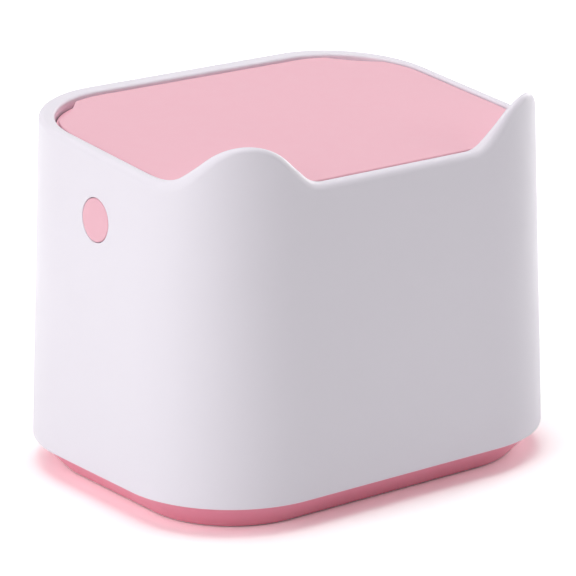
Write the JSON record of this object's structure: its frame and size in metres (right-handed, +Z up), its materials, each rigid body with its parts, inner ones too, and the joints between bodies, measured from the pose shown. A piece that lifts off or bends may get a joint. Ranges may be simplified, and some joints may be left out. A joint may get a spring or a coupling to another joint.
{
  "type": "cat litter bin",
  "caption": "Small cat-eared waste bin: a tapered white sleeve over a pink base tray and an inner pail, with a sloping inset pink lid that tips up when the side button is pressed.",
  "frame": {"origin": "on the floor under the middle of the bin", "axes": "+X along the long side, away from the button; -Y towards the face with the ears; +Z up"},
  "size_m": [0.22, 0.172, 0.1722],
  "materials": {
    "sleeve_white": "satin white, fine even moulded surface",
    "inner_white": "plain white moulding",
    "lid_pink": "pale pink, matte",
    "base_pink": "deeper pink, satin",
    "pail_white": "plain off-white moulding",
    "pad_rubber": "soft grey rubber",
    "steel": "plain bright steel",
    "magnet_nickel": "nickel plated"
  },
  "bodies": {
    "base": {"base_tray": "base_pink", "foot_pads": "pad_rubber", "inner_pail": "pail_white"},
    "sleeve": {"outer_sleeve": "sleeve_white", "top_collar": "lid_pink", "collar_screws": "steel", "hinge_bracket_left": "inner_white", "hinge_bracket_right": "inner_white", "bracket_screws": "steel", "button_housing": "inner_white", "housing_screws": "steel", "button_spring": "steel", "lid_spring_left": "steel", "lid_spring_right": "steel"},
    "lid": {"lid_panel": "lid_pink", "lid_liner": "inner_white", "liner_screws": "steel", "striker": "steel", "striker_screws": "steel", "hinge_pin_left": "steel", "hinge_pin_right": "steel"},
    "button": {"push_button": "lid_pink", "catch_slide": "inner_white", "catch_magnet": "magnet_nickel", "slide_screw": "steel"}
  },
  "joints": [
    {"name": "sleeve_lift", "type": "slide", "parent": "base", "child": "sleeve", "axis": [0, 0, 1], "range_m": [0, 0.11]},
    {"name": "lid_hinge", "type": "hinge", "parent": "sleeve", "child": "lid", "pos_m": [0, 0.02611, 0.15565], "axis": [-1, 0, 0], "range_deg": [0, 80], "deforming": ["lid_spring_left", "lid_spring_right"]},
    {"name": "button_press", "type": "slide", "parent": "sleeve", "child": "button", "axis": [1, 0, 0], "range_m": [0, 0.0032], "stiffness_N_per_m": 400, "springref_m": -0.004, "deforming": ["button_spring"]}
  ]
}
